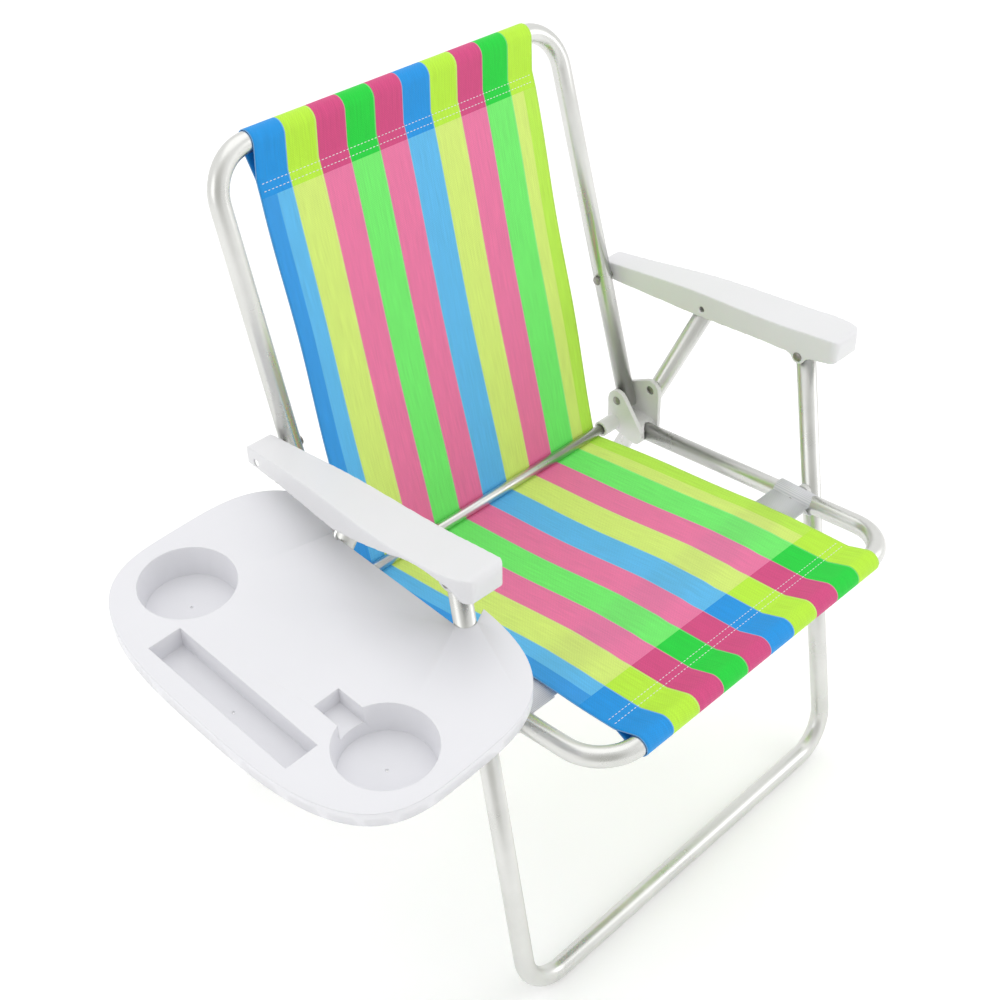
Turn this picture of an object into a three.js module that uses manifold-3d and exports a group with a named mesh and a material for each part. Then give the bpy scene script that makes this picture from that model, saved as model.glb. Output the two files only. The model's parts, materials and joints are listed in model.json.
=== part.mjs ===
// Folding aluminium beach chair with a striped sling and a clip-on side tray.
// Millimetres. X runs across the chair, the sitter faces -Y, Z is up.
// The side view is laid out around the crossing of seat rail and front leg, at y = 0.

import * as THREE from 'three';
import { mergeVertices } from 'three/addons/utils/BufferGeometryUtils.js';
import Module from 'manifold-3d';

const wasm = await Module();
wasm.setup();

// ---------------------------------------------------------------- driving sizes

const CLEAR = 0.3; // gap between two pieces that touch
const PIVOT_CLEAR = 0.35; // radial gap of a rivet in the piece that turns on it
const OPEN_PIVOT_PLAY = 4.2; // the same gap at the linkage's open pivot
const BLOCK_CLEAR = 0.4; // seat rail and back tube to the joint block beside them

const TUBE_OD = 22.2;
const TUBE_WALL = 1.2;
const TUBE_R = TUBE_OD / 2;
const TUBE_SIDES = 16;
const BEND_RADIUS = 50; // tube centreline
const BEND_STEPS = 5;
const CROSS_TUBE_OD = 12.7;

const FRAME_X = 243; // centreline of the back tube and of the seat rail
const LEG_X = 273.5; // centreline of the front and rear legs
const BACK_LEAN = 17.4; // degrees from upright
const SEAT_TILT = 4.3; // degrees, front edge up
const FRONT_LEG_LEAN = 10.65;
const REAR_LEG_LEAN = 24.8;

const LEG_BELOW_SEAT = 375; // crossing to the floor bar, along the front leg
const LEG_ABOVE_SEAT = 175; // crossing to the armrest rivet
const RAIL_AHEAD = 132.5; // crossing to the front bar
const RAIL_BEHIND = 233.5; // crossing to the joint block
const BACK_LENGTH = 461; // back pivot to the top bar
const ARM_ON_BACK = 155.7; // back pivot to the armrest's rear rivet
const SLIDE_FROM_FRONT = 137; // armrest front rivet to the rear leg's pin
const SLIDE_ABOVE = 5.7; // that pin above the line between the armrest rivets
const PIN_TO_LEG_RIVET = 156.4; // rear leg, slide pin to the block's rivet
const TUBE_PAST_RIVET = 12; // cut end beyond a rivet

const EAR_THICK = 6.5;
const PLATE_THICK = 6.2;
const PIVOT_BEHIND = 29.9; // back pivot from the rail's end, rearward
const PIVOT_ABOVE = 37.4; // and up
const CROSS_BEHIND_PIVOT = 3.3; // cross tube from the back pivot, rearward
const CROSS_BELOW_PIVOT = 32.4; // and down
const SOCKET_R = 10;
const SOCKET_LENGTH = 25;
const SOCKET_FLOOR = 2.5; // cross tube's end to the ear
const PIVOT_BOSS_R = 14;
const RAIL_BOSS_R = 13;
const SPIGOT_LENGTH = 28;

const ARM_WALL = 2.5;
const ARM_TOP = 3;
const ARM_TO_LEG = 5.4; // armrest's inner face to the legs' inner side
const ARM_INNER_X = LEG_X - TUBE_R - ARM_TO_LEG;
const ARM_WIDTH_FRONT = 55;
const ARM_WIDTH_REAR = 32;
const ARM_ACCESS_R = 4; // hole in the outer skirt, to set the rear rivet through
const ARM_PAST_REAR_RIVET = 19;
const ARM_NOSE = 48; // ahead of the front rivet
const ARM_LOBE = 8.5; // walls below the front rivet
const ARM_RIB_GAP = 0.6; // leg to the rib that carries the front rivet
const ARM_RIB = [26, 3]; // length, thickness
const STOP_RIB = [30, 2.5, 18]; // across, along and up; it stops the rear leg's pin
const STOP_BEFORE_PIN = 24;
const SLIDE_NOTCH_R = 3.6; // inner wall's room for the end of that pin

const RIVET_R = 2.9;
const RIVET_HEAD_R = 5.6;
const RIVET_TAIL_R = 4.4;
const RIVET_SIDES = 10;
const TAIL_SUNK = 1.5; // the back pivot's rivet ends this far below the block's plate
const HEAD_SUNK = 2.1; // the rear leg's rivet head lies this far inside it

const SLING_WIDTH = 392;
const SLING_THICK = 1.2;
const SLEEVE_GAP = 0.9;
const STRAP_WIDTH = 50;
const STRAP_THICK = 1.6;
const STRAP_RISE = 4.6; // flat run above the rail's centreline
const STRAP_GAP = 0.5;
const SPACER_R = 8.5;

const TRAY_UP_LEG = 128; // crossing to the tray, along the front leg
const TRAY_PITCH = 4; // degrees, front edge down
const TRAY_ROLL = 3.55; // degrees, outer edge down
const TRAY_OUT = 252; // leg centre to the outer edge
const TRAY_IN = 23; // leg centre to the inner edge
const TRAY_LENGTH = 416;
const TRAY_WIDEST = 128; // leg centre to the line where the tray is longest
const TRAY_OUTER_POWER = 3.1; // 2 is an ellipse, more is squarer
const TRAY_INNER_POWER = 3.7;
const TRAY_OUTLINE_POINTS = 96;
const TRAY_PLATE = 3;
const TRAY_SKIRT = 17;
const TRAY_WALL = 2.5;
const CUP_R = 48.5;
const CUP_DRAFT = 3;
const CUP_FROM_LEGS = 154.5;
const CUP_SPACING = 281;
const CUP_DEPTH = 35;
const HANDLE_NOTCH = [29, 78, 19]; // width, reach from the cup's centre, depth
const POCKET_SIZE = [36, 196, 24]; // width, length, depth
const POCKET_FROM_LEGS = 213.5;
const NOTCH_CLEAR = 1.2; // leg to the notch's wall
const NOTCH_EXIT_FRONT = 25; // degrees, the way out past the front leg
const NOTCH_EXIT_REAR = 38; // degrees, the way out past the rear leg
const DRAIN_R = 1.5;

// ------------------------------------------------------------------- side view

const rad = THREE.MathUtils.degToRad;
const yz = (y, z) => new THREE.Vector2(y, z);
const along = (from, direction, distance) => from.clone().addScaledVector(direction, distance);

const CROSSING = yz(0, TUBE_R + LEG_BELOW_SEAT * Math.cos(rad(FRONT_LEG_LEAN)));
const LEG_UP = yz(Math.sin(rad(FRONT_LEG_LEAN)), Math.cos(rad(FRONT_LEG_LEAN)));
const RAIL_FORWARD = yz(-Math.cos(rad(SEAT_TILT)), Math.sin(rad(SEAT_TILT)));
const BACK_UP = yz(Math.sin(rad(BACK_LEAN)), Math.cos(rad(BACK_LEAN)));
const BACK_REAR = yz(Math.cos(rad(BACK_LEAN)), -Math.sin(rad(BACK_LEAN)));
const REAR_LEG_DOWN = yz(Math.sin(rad(REAR_LEG_LEAN)), -Math.cos(rad(REAR_LEG_LEAN)));

const FRONT_FOOT = along(CROSSING, LEG_UP, -LEG_BELOW_SEAT);
const ARM_FRONT = along(CROSSING, LEG_UP, LEG_ABOVE_SEAT);
const RAIL_END = along(CROSSING, RAIL_FORWARD, -RAIL_BEHIND);
const FRONT_BAR = along(CROSSING, RAIL_FORWARD, RAIL_AHEAD);
const BACK_PIVOT = RAIL_END.clone().add(yz(PIVOT_BEHIND, PIVOT_ABOVE));
const CROSS_TUBE = BACK_PIVOT.clone().add(yz(CROSS_BEHIND_PIVOT, -CROSS_BELOW_PIVOT));
const TOP_BAR = along(BACK_PIVOT, BACK_UP, BACK_LENGTH);
const ARM_REAR = along(BACK_PIVOT, BACK_UP, ARM_ON_BACK);
const ARM_BACKWARD = ARM_REAR.clone().sub(ARM_FRONT).normalize();
const ARM_UPWARD = yz(-ARM_BACKWARD.y, ARM_BACKWARD.x);
const ARM_SPAN = ARM_FRONT.distanceTo(ARM_REAR);
const ARM_ANGLE = Math.atan2(ARM_BACKWARD.y, ARM_BACKWARD.x);
const SLIDE_PIN = along(along(ARM_FRONT, ARM_BACKWARD, SLIDE_FROM_FRONT), ARM_UPWARD, SLIDE_ABOVE);
const LEG_RIVET = along(SLIDE_PIN, REAR_LEG_DOWN, PIN_TO_LEG_RIVET);
const REAR_FOOT = along(SLIDE_PIN, REAR_LEG_DOWN, (SLIDE_PIN.y - TUBE_R) / -REAR_LEG_DOWN.y);

// --------------------------------------------------------------------- materials

const metal = (color, roughness) => new THREE.MeshStandardMaterial({ color, roughness, metalness: 1 });
const soft = (color, roughness) => new THREE.MeshStandardMaterial({ color, roughness, metalness: 0 });
const ALUMINIUM = 0xc4c5c1;
const RIVET_STEEL = 0x9b9c98;
const WHITE_PLASTIC = 0xececee;

// ----------------------------------------------------------------- solid helpers

function solidOf(geometry) {
  const bare = geometry.clone();
  bare.deleteAttribute('normal');
  bare.deleteAttribute('uv');
  const merged = mergeVertices(bare, 1e-4);
  const mesh = new wasm.Mesh({
    numProp: 3,
    vertProperties: merged.attributes.position.array,
    triVerts: new Uint32Array(merged.index.array),
  });
  return new wasm.Manifold(mesh);
}

function geometryOf(solid) {
  const mesh = solid.getMesh();
  const geometry = new THREE.BufferGeometry();
  geometry.setAttribute('position', new THREE.BufferAttribute(mesh.vertProperties, 3));
  geometry.setIndex(new THREE.BufferAttribute(mesh.triVerts, 1));
  const flat = geometry.toNonIndexed();
  flat.computeVertexNormals();
  return flat;
}

const joined = (...solids) => solids.reduce((whole, solid) => whole.add(solid));
const cut = (whole, ...tools) => tools.reduce((rest, tool) => rest.subtract(tool), whole);

function named(name, solid, material) {
  const mesh = new THREE.Mesh(geometryOf(solid), material);
  mesh.name = name;
  return mesh;
}

// A side-view shape made solid between two X positions, in either order.
function slab(shape, xA, xB, curveSegments = 12) {
  const depth = Math.abs(xB - xA);
  const geometry = new THREE.ExtrudeGeometry(shape, { depth, bevelEnabled: false, curveSegments });
  const sideView = new THREE.Matrix4().makeBasis(
    new THREE.Vector3(0, 1, 0),
    new THREE.Vector3(0, 0, 1),
    new THREE.Vector3(1, 0, 0),
  );
  geometry.applyMatrix4(sideView);
  geometry.translate(Math.min(xA, xB), 0, 0);
  return solidOf(geometry);
}

// A plan-view shape made solid between two heights.
function block(shape, zLow, zHigh, curveSegments = 12) {
  const depth = zHigh - zLow;
  const geometry = new THREE.ExtrudeGeometry(shape, { depth, bevelEnabled: false, curveSegments });
  geometry.translate(0, 0, zLow);
  return solidOf(geometry);
}

// A round bar along X, centred on a side-view point.
function barX(center, radius, xA, xB, sides = 16) {
  const geometry = new THREE.CylinderGeometry(radius, radius, Math.abs(xB - xA), sides);
  geometry.rotateZ(Math.PI / 2);
  geometry.translate((xA + xB) / 2, center.x, center.y);
  return solidOf(geometry);
}

function upright(radiusTop, radiusBottom, x, y, zLow, zHigh, sides = 40) {
  const geometry = new THREE.CylinderGeometry(radiusTop, radiusBottom, zHigh - zLow, sides);
  geometry.rotateX(Math.PI / 2);
  geometry.translate(x, y, (zLow + zHigh) / 2);
  return solidOf(geometry);
}

function box(width, depth, height, x, y, zLow) {
  const geometry = new THREE.BoxGeometry(width, depth, height);
  geometry.translate(x, y, zLow + height / 2);
  return solidOf(geometry);
}

// The convex outline around a set of discs, each given as [centre, radius].
function outlineAround(discs) {
  const cross = (o, a, b) => (a.x - o.x) * (b.y - o.y) - (a.y - o.y) * (b.x - o.x);
  const rim = discs.flatMap(([center, radius]) => new THREE.EllipseCurve(
    center.x, center.y, radius, radius,
  ).getPoints(12));
  rim.sort((a, b) => a.x - b.x || a.y - b.y);
  const half = (points) => {
    const chain = [];
    for (const point of points) {
      while (chain.length > 1 && cross(chain.at(-2), chain.at(-1), point) <= 1e-6) {
        chain.pop();
      }
      chain.push(point);
    }
    chain.pop();
    return chain;
  };
  return new THREE.Shape([...half(rim), ...half(rim.toReversed())]);
}

// ------------------------------------------------------------------------- tubes

// A path of straight runs and round bends that is sampled only where it turns.
class BentPath extends THREE.Curve {
  constructor(corners, bendRadius) {
    super();
    this.stations = [];
    const heading = (i) => corners[i + 1].clone().sub(corners[i]).normalize();
    this.addStation(corners[0], heading(0));
    for (let i = 1; i < corners.length - 1; i += 1) {
      this.addBend(corners[i], heading(i - 1), heading(i), bendRadius);
    }
    this.addStation(corners.at(-1), heading(corners.length - 2));
  }

  addStation(point, tangent) {
    this.stations.push({ point: point.clone(), tangent: tangent.clone() });
  }

  addBend(corner, before, after, radius) {
    const turn = before.angleTo(after);
    const start = corner.clone().addScaledVector(before, -radius * Math.tan(turn / 2));
    const axis = before.clone().cross(after).normalize();
    const center = start.clone().addScaledVector(axis.clone().cross(before), radius);
    for (let i = 0; i <= BEND_STEPS; i += 1) {
      const angle = (turn * i) / BEND_STEPS;
      const arm = start.clone().sub(center).applyAxisAngle(axis, angle);
      this.addStation(center.clone().add(arm), before.clone().applyAxisAngle(axis, angle));
    }
  }

  get steps() {
    return this.stations.length - 1;
  }

  getPointAt(u) {
    return this.stations[Math.round(u * this.steps)].point.clone();
  }

  getTangentAt(u) {
    return this.stations[Math.round(u * this.steps)].tangent.clone();
  }
}

function ring(radius, hole) {
  const shape = new THREE.Shape().absarc(0, 0, radius, 0, 2 * Math.PI);
  if (hole > 0) {
    shape.holes.push(new THREE.Path().absarc(0, 0, hole, 0, 2 * Math.PI));
  }
  return shape;
}

function tubeAlong(corners, outerRadius, wall, bendRadius = BEND_RADIUS) {
  const path = new BentPath(corners, bendRadius);
  const geometry = new THREE.ExtrudeGeometry(ring(outerRadius, outerRadius - wall), {
    steps: path.steps,
    extrudePath: path,
    curveSegments: TUBE_SIDES / 2,
  });
  return solidOf(geometry);
}

// A U of tube in a sloping plane, from the left-hand end round to the right-hand end.
function uTube(halfWidth, end, bar) {
  return tubeAlong([
    new THREE.Vector3(-halfWidth, end.x, end.y),
    new THREE.Vector3(-halfWidth, bar.x, bar.y),
    new THREE.Vector3(halfWidth, bar.x, bar.y),
    new THREE.Vector3(halfWidth, end.x, end.y),
  ], TUBE_R, TUBE_WALL);
}

function rivetHole(center, halfWidth, radius = RIVET_R + CLEAR) {
  return barX(center, radius, -halfWidth - TUBE_OD, halfWidth + TUBE_OD, RIVET_SIDES);
}

// ---------------------------------------------------------------- metal frames

function backFrame() {
  const end = along(BACK_PIVOT, BACK_UP, -TUBE_PAST_RIVET);
  return cut(
    uTube(FRAME_X, end, TOP_BAR),
    rivetHole(BACK_PIVOT, FRAME_X, RIVET_R + PIVOT_CLEAR),
    rivetHole(ARM_REAR, FRAME_X, RIVET_R + PIVOT_CLEAR),
  );
}

function seatFrame() {
  return cut(uTube(FRAME_X, RAIL_END, FRONT_BAR), rivetHole(CROSSING, FRAME_X));
}

// The armrest rivet is the linkage's open pivot, so its hole in the leg is wider than the rivet.
function frontLegFrame() {
  const end = along(ARM_FRONT, LEG_UP, TUBE_PAST_RIVET);
  return cut(
    uTube(LEG_X, end, FRONT_FOOT),
    rivetHole(ARM_FRONT, LEG_X, RIVET_R + OPEN_PIVOT_PLAY),
    rivetHole(CROSSING, LEG_X, RIVET_R + PIVOT_CLEAR),
  );
}

function rearLegFrame() {
  const end = along(SLIDE_PIN, REAR_LEG_DOWN, -TUBE_PAST_RIVET);
  return cut(
    uTube(LEG_X, end, REAR_FOOT),
    rivetHole(SLIDE_PIN, LEG_X),
    rivetHole(LEG_RIVET, LEG_X, RIVET_R + PIVOT_CLEAR),
  );
}

const EAR_OUTER_X = FRAME_X - TUBE_R - BLOCK_CLEAR;
const EAR_INNER_X = EAR_OUTER_X - EAR_THICK;
const PLATE_INNER_X = FRAME_X + TUBE_R + BLOCK_CLEAR;
const PLATE_OUTER_X = PLATE_INNER_X + PLATE_THICK;
const CROSS_TUBE_END = EAR_INNER_X - SOCKET_FLOOR;

function crossTube() {
  const end = (side) => new THREE.Vector3(side * CROSS_TUBE_END, CROSS_TUBE.x, CROSS_TUBE.y);
  return tubeAlong([end(-1), end(1)], CROSS_TUBE_OD / 2, TUBE_WALL);
}

// ------------------------------------------------------------------ joint blocks

function jointBlock(side) {
  const at = (x) => side * x;
  const railDisc = [RAIL_END, RAIL_BOSS_R];
  const crossDisc = [CROSS_TUBE, SOCKET_R];
  const pivotDisc = [BACK_PIVOT, PIVOT_BOSS_R];
  const ear = slab(
    outlineAround([pivotDisc, crossDisc, railDisc]),
    at(EAR_INNER_X),
    at(EAR_OUTER_X),
  );
  const plate = slab(
    outlineAround([pivotDisc, [LEG_RIVET, PIVOT_BOSS_R], railDisc, crossDisc]),
    at(PLATE_INNER_X),
    at(PLATE_OUTER_X),
  );
  const web = slab(
    outlineAround([railDisc, crossDisc]),
    at(EAR_OUTER_X - 1),
    at(PLATE_INNER_X + 1),
  );
  const socket = barX(CROSS_TUBE, SOCKET_R, at(EAR_INNER_X - SOCKET_LENGTH), at(EAR_INNER_X + 1), 24);
  const tailPocket = PLATE_OUTER_X - TAIL_SUNK - CLEAR;
  const headPocket = PLATE_INNER_X + HEAD_SUNK + CLEAR;
  const bore = barX(
    CROSS_TUBE,
    CROSS_TUBE_OD / 2 + CLEAR,
    at(EAR_INNER_X - SOCKET_LENGTH - 1),
    at(CROSS_TUBE_END + CLEAR),
    24,
  );
  return cut(
    joined(ear, plate, web, socket, spigot(side)).subtract(railSeat(side)),
    bore,
    barX(BACK_PIVOT, RIVET_R + CLEAR, at(0), at(LEG_X), RIVET_SIDES),
    barX(BACK_PIVOT, RIVET_TAIL_R + CLEAR, at(tailPocket), at(LEG_X), RIVET_SIDES),
    barX(LEG_RIVET, RIVET_R + CLEAR, at(FRAME_X), at(LEG_X), RIVET_SIDES),
    barX(LEG_RIVET, RIVET_HEAD_R + CLEAR, at(FRAME_X), at(headPocket), RIVET_SIDES),
  );
}

// A bar along the seat rail, from one distance ahead of the rail's end to another.
function railBar(side, radius, from, to, hole = 0) {
  const place = (distance) => {
    const point = along(RAIL_END, RAIL_FORWARD, distance);
    return new THREE.Vector3(side * FRAME_X, point.x, point.y);
  };
  return tubeAlong([place(from), place(to)], radius, hole > 0 ? radius - hole : radius);
}

const spigot = (side) => railBar(side, TUBE_R - TUBE_WALL - CLEAR, -2, SPIGOT_LENGTH);

// The room that the rail's end takes up in the block, around the spigot.
function railSeat(side) {
  return railBar(side, TUBE_R + CLEAR, -CLEAR, SPIGOT_LENGTH + 4, TUBE_R - TUBE_WALL - CLEAR);
}

// --------------------------------------------------------------------- armrests

// Armrest shapes are drawn from the front rivet: first number rearward, second up.

// The sweep of the armrest's top from the rear forward, lowered by a drop.
function sweepArmTop(shape, drop) {
  shape.bezierCurveTo(ARM_SPAN - 60, 20 - drop, ARM_SPAN - 100, 26 - drop, ARM_SPAN - 150, 27 - drop);
  shape.bezierCurveTo(60, 28 - drop, 20, 30 - drop, 0, 33 - drop);
}

function armSideShape() {
  const tail = ARM_SPAN + ARM_PAST_REAR_RIVET;
  const shape = new THREE.Shape();
  shape.moveTo(tail, -7);
  shape.lineTo(tail, 8);
  shape.quadraticCurveTo(tail - 1, 13, tail - 8, 14);
  sweepArmTop(shape, 0);
  shape.lineTo(8 - ARM_NOSE, 36.5);
  shape.quadraticCurveTo(-ARM_NOSE, 37, -ARM_NOSE, 29);
  shape.lineTo(1 - ARM_NOSE, 9);
  shape.lineTo(-16, 3);
  shape.quadraticCurveTo(-10, 1, -8.5, -3);
  shape.quadraticCurveTo(-6, -ARM_LOBE, 0, -ARM_LOBE);
  shape.quadraticCurveTo(6, -ARM_LOBE, 8.5, -3);
  shape.quadraticCurveTo(10, 0, 16, 1);
  shape.lineTo(60, 0);
  shape.quadraticCurveTo(110, -3, ARM_SPAN - 120, -5);
  shape.closePath();
  return shape;
}

// What is cut away below the outer skirt, which is shallower than the inner wall at the front.
function armSkirtCutShape() {
  const shape = new THREE.Shape();
  shape.moveTo(ARM_SPAN - 137, -30);
  shape.lineTo(ARM_SPAN - 137, -4);
  shape.bezierCurveTo(112, 2, 66, 14, 34, 24.5);
  shape.quadraticCurveTo(2, 32, -26, 22);
  shape.lineTo(10 - ARM_NOSE, 10);
  shape.lineTo(-ARM_NOSE - 5, 9);
  shape.lineTo(-ARM_NOSE - 5, -30);
  shape.closePath();
  return shape;
}

// The lobe of the rib beside the leg that carries the front rivet.
function armRibShape() {
  const half = ARM_RIB[0] / 2;
  const shape = new THREE.Shape();
  shape.moveTo(half, 29);
  shape.lineTo(-half, 30);
  shape.lineTo(-half, 6);
  shape.quadraticCurveTo(-half + 2, -ARM_LOBE, 0, -ARM_LOBE);
  shape.quadraticCurveTo(half - 2, -ARM_LOBE, half, 6);
  shape.closePath();
  return shape;
}

// The channel under the top plate. It runs out at the rear end, where the leg lies when folded.
function armChannelShape() {
  const tail = ARM_SPAN + ARM_PAST_REAR_RIVET + 5;
  const shape = new THREE.Shape();
  shape.moveTo(tail, -30);
  shape.lineTo(tail, 14 - ARM_TOP);
  shape.lineTo(ARM_SPAN, 14 - ARM_TOP);
  sweepArmTop(shape, ARM_TOP);
  shape.lineTo(ARM_WALL - ARM_NOSE, 36 - ARM_TOP);
  shape.lineTo(ARM_WALL - ARM_NOSE, -30);
  shape.closePath();
  return shape;
}

// The armrest from above, set in from its outline by a wall.
function armPlanShape(side, inset) {
  const tail = ARM_SPAN + ARM_PAST_REAR_RIVET;
  const inner = ARM_INNER_X + inset;
  const rear = ARM_INNER_X + ARM_WIDTH_REAR - inset;
  const front = ARM_INNER_X + ARM_WIDTH_FRONT - inset;
  const nose = inset - ARM_NOSE;
  const end = inset > 0 ? tail + 20 : tail;
  const shape = new THREE.Shape();
  shape.moveTo(side * inner, end);
  shape.lineTo(side * (rear - 6), end);
  shape.quadraticCurveTo(side * rear, end, side * rear, tail - 8);
  shape.bezierCurveTo(side * (rear + 6), tail - 110, side * (front + 2), 110, side * front, 0);
  shape.quadraticCurveTo(side * (front - 1), nose, side * (front - 18), nose);
  shape.lineTo(side * (inner + 10), nose);
  shape.quadraticCurveTo(side * inner, nose, side * inner, nose + 10);
  shape.closePath();
  return shape;
}

function placedOnArm(solid) {
  const turned = solid.rotate([THREE.MathUtils.radToDeg(ARM_ANGLE), 0, 0]);
  return turned.translate([0, ARM_FRONT.x, ARM_FRONT.y]);
}

function armrest(side) {
  const inside = ARM_INNER_X - 20;
  const far = ARM_INNER_X + ARM_WIDTH_FRONT + 20;
  const shell = slab(armSideShape(), side * inside, side * far, 6)
    .intersect(block(armPlanShape(side, 0), -60, 60, 6));
  const channel = slab(armChannelShape(), side * inside, side * far, 6)
    .intersect(block(armPlanShape(side, ARM_WALL), -60, 60, 6));
  const slidePin = yz(SLIDE_FROM_FRONT, SLIDE_ABOVE);
  const ribX = LEG_X + TUBE_R + ARM_RIB_GAP;
  const skirtCut = slab(armSkirtCutShape(), side * (LEG_X + TUBE_R), side * far, 6);
  const rib = slab(armRibShape(), side * ribX, side * (ribX + ARM_RIB[1]), 6);
  const stopMiddle = ARM_INNER_X + 1 + STOP_RIB[0] / 2;
  const stopRib = box(...STOP_RIB, side * stopMiddle, SLIDE_FROM_FRONT - STOP_BEFORE_PIN, 8);
  const body = joined(cut(shell, channel, skirtCut), rib, stopRib);
  const hole = RIVET_R + CLEAR;
  return placedOnArm(cut(
    body,
    barX(yz(0, 0), hole, side * inside, side * far, RIVET_SIDES),
    barX(yz(ARM_SPAN, 0), hole, side * inside, side * LEG_X, RIVET_SIDES),
    barX(yz(ARM_SPAN, 0), ARM_ACCESS_R, side * LEG_X, side * far, 16),
    barX(slidePin, SLIDE_NOTCH_R, side * inside, side * LEG_X, RIVET_SIDES),
  ));
}

// ----------------------------------------------------------------------- rivets

// A semi-tubular rivet along X: a domed head at xHead and a rolled, hollow tail at xTail.
function rivet(center, xHead, xTail) {
  const length = Math.abs(xTail - xHead);
  const profile = [
    [0, -1.8],
    [3.6, -1.6],
    [RIVET_HEAD_R, 0],
    [RIVET_R, 0],
    [RIVET_R, length],
    [RIVET_TAIL_R, length],
    [RIVET_TAIL_R, length + 1.1],
    [2, length + 1.1],
    [2, length - 1.5],
    [0, length - 1.5],
  ].map(([radius, height]) => new THREE.Vector2(radius, height));
  const geometry = new THREE.LatheGeometry(profile, RIVET_SIDES);
  geometry.rotateZ(xTail > xHead ? -Math.PI / 2 : Math.PI / 2);
  geometry.translate(xHead, center.x, center.y);
  return solidOf(geometry);
}

// The inner and outer faces that each rivet clamps, measured from the middle of the chair.
const TUBE_INNER_X = FRAME_X - TUBE_R - CLEAR;
const LEG_OUTER_X = LEG_X + TUBE_R + CLEAR;
const RIB_OUTER_X = LEG_X + TUBE_R + ARM_RIB_GAP + ARM_RIB[1] + CLEAR;
const RIVETS = [
  ['back_pivot_rivet', BACK_PIVOT, EAR_INNER_X - CLEAR, PLATE_OUTER_X - TAIL_SUNK],
  ['armrest_rear_rivet', ARM_REAR, TUBE_INNER_X, ARM_INNER_X + ARM_WALL + CLEAR],
  ['armrest_front_rivet', ARM_FRONT, ARM_INNER_X - CLEAR, RIB_OUTER_X],
  ['rear_leg_slide_pin', SLIDE_PIN, LEG_X - TUBE_R - CLEAR, LEG_OUTER_X],
  ['rear_leg_rivet', LEG_RIVET, PLATE_INNER_X + HEAD_SUNK, LEG_OUTER_X],
  ['front_leg_rivet', CROSSING, TUBE_INNER_X, LEG_OUTER_X],
];

// ------------------------------------------------------------------- side spacer

// Plastic washer between the seat rail and the front leg, on the leg's rivet.
function legSpacer(side) {
  const inner = FRAME_X + TUBE_R + CLEAR;
  const outer = LEG_X - TUBE_R - CLEAR;
  const washer = barX(CROSSING, SPACER_R, side * inner, side * outer, 20);
  return washer.subtract(rivetHole(CROSSING, LEG_X));
}

// -------------------------------------------------------------- sling and strap

const FABRIC_HALF = SLING_WIDTH / 2;

// A sheet seen from the side, as a run of flat lengths of one thickness.
function sheetSolid(points, thickness) {
  const edge = (side) => points.map((point, i) => {
    const ahead = points[Math.min(i + 1, points.length - 1)];
    const behind = points[Math.max(i - 1, 0)];
    const run = ahead.clone().sub(behind).normalize();
    return along(point, yz(-run.y, run.x), (side * thickness) / 2);
  });
  const shape = new THREE.Shape([...edge(-1), ...edge(1).reverse()]);
  return slab(shape, -FABRIC_HALF, FABRIC_HALF);
}

function sleeveRound(center) {
  const inner = TUBE_R + SLEEVE_GAP;
  return {
    skin: barX(center, inner + SLING_THICK, -FABRIC_HALF, FABRIC_HALF, 24),
    room: barX(center, inner, -FABRIC_HALF - 1, FABRIC_HALF + 1, 24),
  };
}

const SLING_BEHIND_CROSS = CROSS_TUBE_OD / 2 + CLEAR + SLING_THICK;

function backSling() {
  const foot = along(CROSS_TUBE, BACK_REAR, SLING_BEHIND_CROSS);
  const lowEnd = along(foot, BACK_UP, 8);
  const sleeve = sleeveRound(TOP_BAR);
  return sheetSolid([lowEnd, TOP_BAR], SLING_THICK).add(sleeve.skin).subtract(sleeve.room);
}

const STRAP_LEVEL = CROSSING.y + STRAP_RISE;

function seatSling() {
  const under = CROSS_TUBE.clone().add(yz(0, -SLING_BEHIND_CROSS));
  const behind = CROSS_TUBE.clone().add(yz(SLING_BEHIND_CROSS * 0.8, -SLING_BEHIND_CROSS * 0.6));
  const onStrap = yz(STRAP_WIDTH / 2, STRAP_LEVEL + STRAP_THICK / 2 + CLEAR + SLING_THICK);
  const sleeve = sleeveRound(FRONT_BAR);
  return sheetSolid([FRONT_BAR, onStrap, under, behind], SLING_THICK)
    .add(sleeve.skin)
    .subtract(sleeve.room);
}

// The strap loops round both seat rails at the crossing and carries the sling between them.
function supportStrap() {
  const inner = TUBE_R + STRAP_GAP;
  const outer = inner + STRAP_THICK;
  const reach = (STRAP_WIDTH / 2) / Math.cos(rad(SEAT_TILT));
  const flat = box(2 * (FRAME_X - inner + 1), STRAP_WIDTH, STRAP_THICK, 0, 0, STRAP_LEVEL - STRAP_THICK / 2);
  const loops = [-1, 1].map((side) => railBar(side, outer, RAIL_BEHIND - reach, RAIL_BEHIND + reach));
  const rooms = [-1, 1].map((side) => railBar(
    side,
    inner,
    RAIL_BEHIND - reach - 5,
    RAIL_BEHIND + reach + 5,
  ));
  return cut(joined(flat, ...loops), ...rooms, barX(CROSSING, SPACER_R + CLEAR, -LEG_X, LEG_X, 20));
}

// ------------------------------------------------------------------------- tray

// Tray shapes are drawn flat, from the point where the front leg passes through:
// x towards the chair, y rearward, z up from the top face.

const TRAY_TURN = new THREE.Matrix4().multiplyMatrices(
  new THREE.Matrix4().makeRotationY(-rad(TRAY_ROLL)),
  new THREE.Matrix4().makeRotationX(rad(TRAY_PITCH)),
);
const TRAY_ORIGIN = (() => {
  const point = along(CROSSING, LEG_UP, TRAY_UP_LEG);
  return new THREE.Vector3(-LEG_X, point.x, point.y);
})();

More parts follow.
